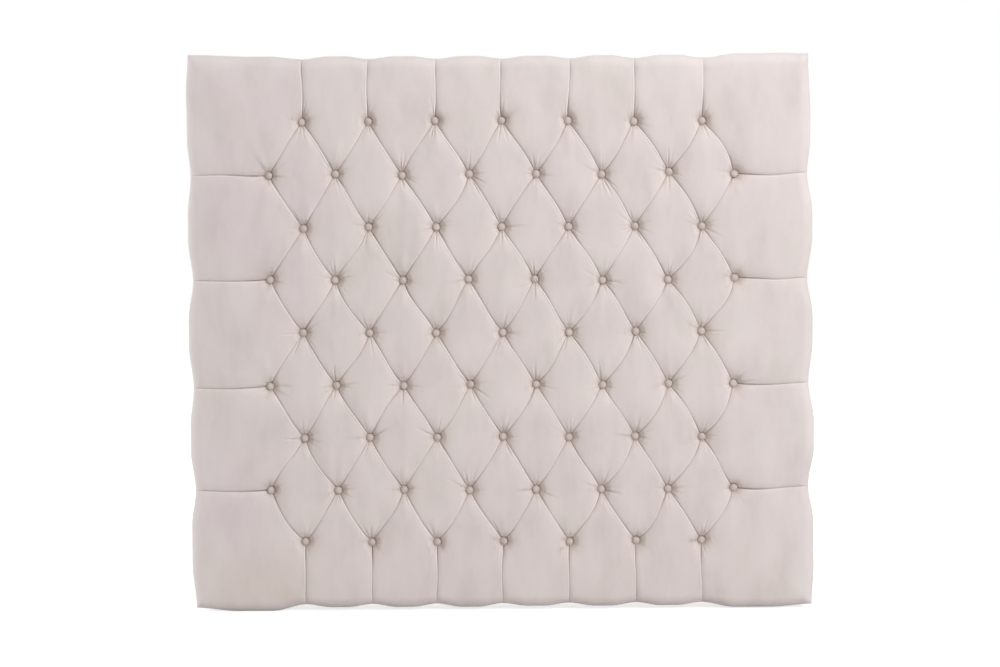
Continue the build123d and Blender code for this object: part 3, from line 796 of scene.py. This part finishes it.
staple = {
    "crown": 10.0,
    "wire": 0.9, "flat": 0.5,  # width and thickness
    "stand": 0.55,  # of the crown above the cloth
    "bend": 0.7,  # length of the slope at each end of the crown
    "leg": 1.2,  # how far its legs go in
    "behind": 0.75,  # from the velvet's back to the cloth's back
    "turn": 0.12,  # radians, as a spread
    "seed": 43,
}


# Each staple is a flat wire bent down at both ends: a profile carried along its crown and legs.
# They stand at even steps along all four edges.
def stapleRow(values):
    random = np.random.default_rng(values["seed"])
    inset, halfWidth = lining["stapleInset"], lining["halfWidth"]
    width, tall = 2 * halfWidth, lining["high"] - lining["low"]
    across = np.linspace(inset, width - inset, stapleCount(width) + 1) - halfWidth
    upwards = np.linspace(inset, tall - inset, stapleCount(tall) + 1)[1:-1] + lining["low"]
    places = [(x, z, 0.0) for z in (lining["low"] + inset, lining["high"] - inset) for x in across]
    places += [(x, z, math.pi / 2) for x in (inset - halfWidth, halfWidth - inset) for z in upwards]
    x, z, turn = np.array(places).T[:, :, None, None]
    turn = turn + random.normal(0, values["turn"], len(places))[:, None, None]
    end, half = values["crown"] / 2, values["wire"] / 2
    slope, stand, leg, flat = end - values["bend"], values["stand"], -values["leg"], values["flat"] / 2
    path = np.array([(-end, leg), (-end, 0.1), (-slope, stand), (slope, stand), (end, 0.1), (end, leg)])
    profile = np.array([(-half, -flat), (half, -flat), (half, flat), (-half, flat)])
    along, up = path[:, 0][:, None] + 0 * profile[:, 0], path[:, 1][:, None] + profile[:, 1]
    side = profile[:, 0] + 0 * path[:, 0][:, None]
    x = x + along * np.cos(turn) - side * np.sin(turn)
    z = z + along * np.sin(turn) + side * np.cos(turn)
    height = lining["front"] - values["behind"] - up + 0 * x
    print("Back done:", len(places), "staples")
    return toMetres(x, z, height), tubeFaces(len(places), len(path), len(profile))


staples = addMesh("liningStaples", *stapleRow(staple), smooth=False)
clean(staples, 0.0005 * mm)
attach(staples, body)


# Finishes

# Gives a node's inputs, by name or number, a link from a socket or a value
def setInputs(node, values):
    for name, value in values.items():
        if isinstance(value, bpy.types.NodeSocket):
            node.id_data.links.new(value, node.inputs[name])
        else:
            node.inputs[name].default_value = value


# A node with its settings and inputs, by its type's name after ShaderNode
def addNode(tree, kind, inputs={}, **settings):
    node = tree.nodes.new("ShaderNode" + kind)
    for name, value in settings.items():
        setattr(node, name, value)
    setInputs(node, inputs)
    return node


# Noise on Object coordinates, stretched by a Mapping node
def noise(tree, size, detail=2.0, stretch=(1, 1, 1), roughness=0.5):
    place = addNode(tree, "TexCoord").outputs["Object"]
    place = addNode(tree, "Mapping", {"Vector": place, "Scale": stretch}).outputs["Vector"]
    inputs = {"Vector": place, "Scale": size, "Detail": detail, "Roughness": roughness}
    return addNode(tree, "TexNoise", inputs).outputs["Fac"]


# Colours by a value: straight blends between stops, each a place and a colour
def ramp(tree, source, stops):
    node = addNode(tree, "ValToRGB", {"Fac": source})
    while len(node.color_ramp.elements) < len(stops):
        node.color_ramp.elements.new(0.5)
    for element, (place, colour) in zip(node.color_ramp.elements, stops):
        element.position, element.color = place, (*colour, 1)
    return node.outputs["Color"]


# The first colour at factor 0 and the second, or their product, at factor 1
def mixed(tree, factor, first, second, kind="MIX"):
    node = addNode(tree, "Mix", data_type="RGBA", blend_type=kind)
    wanted = dict(zip(("Factor", "A", "B"), (factor, first, second)))
    setInputs(node, {i: wanted[s.name] for i, s in enumerate(node.inputs) if s.enabled})
    return [s for s in node.outputs if s.enabled][0]


# Two values or sockets in one operation
def maths(tree, operation, first, second):
    return addNode(tree, "Math", {0: first, 1: second}, operation=operation).outputs[0]


# A material of one Principled node: its colour, its surface's values, and bumps one upon the
# other, each from a height, a distance in metres and a strength
def finished(material, colour, surface, bumps):
    tree, below = material.node_tree, {}
    for source, distance, strength in bumps:
        inputs = {"Height": source, "Distance": distance, "Strength": strength, **below}
        below = {"Normal": addNode(tree, "Bump", inputs).outputs["Normal"]}
    setInputs(tree.nodes["Principled BSDF"], {"Base Color": colour, **surface, **below})
    return material


# A new material with its nodes
def newMaterial(name):
    material = bpy.data.materials.new(name)
    material.use_nodes = True
    return material, material.node_tree


# Screen levels from 0 to 255 as amounts of light, by the sRGB curve
def srgb(*values):
    values = np.array(values) / 255
    return tuple(np.where(values <= 0.04045, values / 12.92, ((values + 0.055) / 1.055) ** 2.4))


velvetLook = {
    "pink": srgb(220, 208, 207),
    "grey": srgb(219, 209, 204),
    "brushedUp": srgb(229, 218, 217),
    "brushedDown": srgb(203, 192, 190),
    # colour of the painted shade in the creases and round the buttons
    "shade": srgb(150, 128, 120),
    # colour of the painted warm shade beside the buttons and of the lower left patch
    "shadeAndPatch": srgb(208, 192, 177), "shadeAndPatchShare": 0.6,
    # colour of the painted sheen at the left, right and top edges
    "edge": srgb(229, 226, 223),
    "buttonTint": srgb(199, 184, 175), "tintShare": 0.7,
    # colour of the painted highlight along the lips
    "lip": srgb(238, 230, 227),
    # noises: size, detail, stretch and roughness
    "patches": (5.5, 3, (1, 1, 0.8)),
    "brushing": (16, 3, (1, 1, 0.42), 0.6), "brushedShare": 0.45,
    "fibres": (900, 2), "fibreShade": 0.93,
    "pileNoise": (700, 2), "pileBump": (0.0004, 0.35),
    "clothNoise": (60, 2), "clothBump": (0.0008, 0.25),
    "surface": {"Roughness": 0.82, "Specular IOR Level": 0.2, "Sheen Weight": 1.0,
                "Sheen Roughness": 0.38, "Sheen Tint": (1, 1, 0.98, 1)},
}


# Pinkish and greyish patches, streaks of brushed pile and fine fibres. The cover also has the four
# shares that were written to its points, each as a blend towards its own colour: painted warm shade
# beside the buttons with a darker patch, painted sheen at the edges, a painted highlight on the lips,
# and painted shade in the creases and round the buttons. The buttons have a tint.
def velvet(name, values, tint=None):
    material, tree = newMaterial(name)

    def layer(look, *stops):
        return ramp(tree, noise(tree, *values[look]), stops)

    colour = layer("patches", (0.42, values["pink"]), (0.58, values["grey"]))
    brushed = layer("brushing", (0.3, values["brushedDown"]), (0.5, values["pink"]),
                    (0.72, values["brushedUp"]))
    colour = mixed(tree, values["brushedShare"], colour, brushed)
    if tint:
        colour = mixed(tree, values["tintShare"], colour, (*tint, 1))
    fibres = layer("fibres", (0.3, (values["fibreShade"],) * 3), (0.7, (1, 1, 1)))
    colour = mixed(tree, 1.0, colour, fibres, "MULTIPLY")
    if not tint:
        # painted warm shade and patch, painted sheen, painted highlight and painted shade, each from its
        # share
        for share, look in (("pressedPile", "shadeAndPatch"), ("edgePale", "edge"), ("lipLight", "lip"),
                            ("creaseShade", "shade")):
            amount = addNode(tree, "Attribute", attribute_name=share).outputs["Fac"]
            if look == "shadeAndPatch":
                amount = maths(tree, "MULTIPLY", amount, values["shadeAndPatchShare"])
            colour = mixed(tree, amount, colour, (*values[look], 1))
    return finished(material, colour, values["surface"], (
        (noise(tree, *values["pileNoise"]), *values["pileBump"]),
        (noise(tree, *values["clothNoise"]), *values["clothBump"])))


# The material takes the place of any other on the piece
def setMaterial(piece, material):
    piece.data.materials.clear()
    piece.data.materials.append(material)


setMaterial(velvetCover, velvet("pinkGreyVelvet", velvetLook))
setMaterial(velvetButtons, velvet("buttonVelvet", velvetLook, velvetLook["buttonTint"]))


# Fine noise between a dark and a light colour, with a finer one as bump
def clothLook(name, dark, light, size, roughness=0.9):
    material, tree = newMaterial(name)
    colour = ramp(tree, noise(tree, size, 4), ((0.35, dark), (0.65, light)))
    weave = noise(tree, size * 2.2, 3)
    return finished(material, colour, {"Roughness": roughness}, ((weave, 0.0003, 0.4),))


# Grain is noise that is stretched along the batten
def woodLook(name, dark, light, along):
    material, tree = newMaterial(name)
    grain = noise(tree, 130, 5, {"x": (0.06, 1, 1), "z": (1, 1, 0.06)}[along], 0.65)
    colour = ramp(tree, grain, ((0.3, dark), (0.7, light)))
    return finished(material, colour, {"Roughness": 0.7}, ((grain, 0.0004, 0.3),))


# Metal with stains of four fifths of its colour
def metalLook(name, colour, roughness):
    material, tree = newMaterial(name)
    stain = noise(tree, 220, 3)
    stained = ramp(tree, stain, ((0.3, tuple(0.8 * c for c in colour)), (0.7, colour)))
    surface = {"Metallic": 1.0, "Roughness": roughness}
    return finished(material, stained, surface, ((stain, 0.0002, 0.2),))


setMaterial(dustLining, clothLook("blackLining", (0.012, 0.012, 0.013), (0.03, 0.03, 0.032), 420))
setMaterial(staples, metalLook("stapleWire", (0.62, 0.62, 0.6), 0.35))
pineUp = woodLook("pineUpright", srgb(176, 140, 98), srgb(214, 182, 138), "z")
pineAcross = woodLook("pineAcross", srgb(176, 140, 98), srgb(214, 182, 138), "x")
finishes = {  # by how the pieces' names start
    "frame_stile": pineUp, "frame_upright": pineUp,
    "frame_rail": pineAcross, "corner_blocks": pineAcross,
    "face_board": woodLook("plywoodBoard", srgb(170, 140, 104), srgb(205, 175, 138), "x"),
    "twine": clothLook("linenTwine", srgb(190, 178, 150), srgb(222, 212, 190), 1500),
    "toggle": clothLook("toggleNylon", srgb(196, 196, 190), srgb(214, 214, 208), 90, 0.45),
    "threaded_inserts": metalLook("zincSteel", (0.68, 0.67, 0.62), 0.3),
}
for name, node in frame["nodes"].items():
    for start, material in finishes.items():
        if name.startswith(start):
            setMaterial(node, material)
print("Finishes done")


# Floor, light and camera

studio = {
    "floorSize": 14.0,
    "floorTone": 0.74,
    "floorGlow": 0.72,  # makes the lit floor as white as the backdrop
    # power, place and size
    "lamps": {"keyLamp": (208.0, (4.8, -4.4, 3.3), 2.8), "fillLamp": (80.0, (-4.6, 0.25, 1.3), 1.8),
              "topLamp": (22.0, (0.9, -1.15, 3.2), 2.0)},
    "aim": (0, 0, 0.65),
    "sky": 0.53,
}


# 1 for what the camera sees itself, in metal or through glass, and 0 for light on the object
def seenRays(tree):
    ray = addNode(tree, "LightPath").outputs
    straight = maths(tree, "MAXIMUM", ray["Is Camera Ray"], ray["Is Glossy Ray"])
    return maths(tree, "MAXIMUM", straight, ray["Is Transmission Ray"])


corners = np.array([(-1, -1, 0), (1, -1, 0), (1, 1, 0), (-1, 1, 0)])
floor = addMesh("studioFloor", corners * studio["floorSize"], [[0, 1, 2, 3]], smooth=False)
material, tree = newMaterial("paleFloor")
tree.nodes.clear()
plain = addNode(tree, "BsdfDiffuse", {"Color": (studio["floorTone"],) * 3 + (1,)})
strength = maths(tree, "MULTIPLY", seenRays(tree), studio["floorGlow"])
glow = addNode(tree, "Emission", {"Strength": strength})
both = addNode(tree, "AddShader", {0: plain.outputs[0], 1: glow.outputs[0]})
addNode(tree, "OutputMaterial", {"Surface": both.outputs[0]})
setMaterial(floor, material)

world = bpy.data.worlds.new("studioSky")
bpy.context.scene.world = world
world.use_nodes = True
tree = world.node_tree
tree.nodes.clear()
sky = addNode(tree, "Background", {"Strength": studio["sky"], "Color": (1, 1, 1, 1)})
backdrop = addNode(tree, "Background", {"Strength": 1.0, "Color": (1, 1, 1, 1)})
inputs = {0: seenRays(tree), 1: sky.outputs[0], 2: backdrop.outputs[0]}
choice = addNode(tree, "MixShader", inputs)
addNode(tree, "OutputWorld", {"Surface": choice.outputs[0]})


# A round lamp that is turned from straight down to its aim: by the angle between the two, and
# about the upright by the aim's own direction
def addLamp(name, power, place, size):
    lamp = bpy.data.lights.new(name, "AREA")
    lamp.energy, lamp.shape, lamp.size = power, "DISK", size
    holder = addObject(name, lamp)
    holder.location = place
    aim = np.array(studio["aim"]) - np.array(place)
    down = math.acos(-aim[2] / np.linalg.norm(aim))
    holder.rotation_euler = (down, 0, math.atan2(aim[1], aim[0]) - math.pi / 2)


for name, lamp in studio["lamps"].items():
    addLamp(name, *lamp)

camera = {
    "lens": 85.0,
    "place": (-0.0648, -5.375, 0.9663),
    "turn": (90 - 3.576, 0.264, -0.652),  # degrees
}
view = addObject("photoCamera", bpy.data.cameras.new("photoCamera"))
view.data.lens = camera["lens"]
view.location = camera["place"]
view.rotation_euler = [math.radians(angle) for angle in camera["turn"]]
bpy.context.scene.camera = view
bpy.context.scene.view_settings.view_transform = "Standard"
print("Studio done")
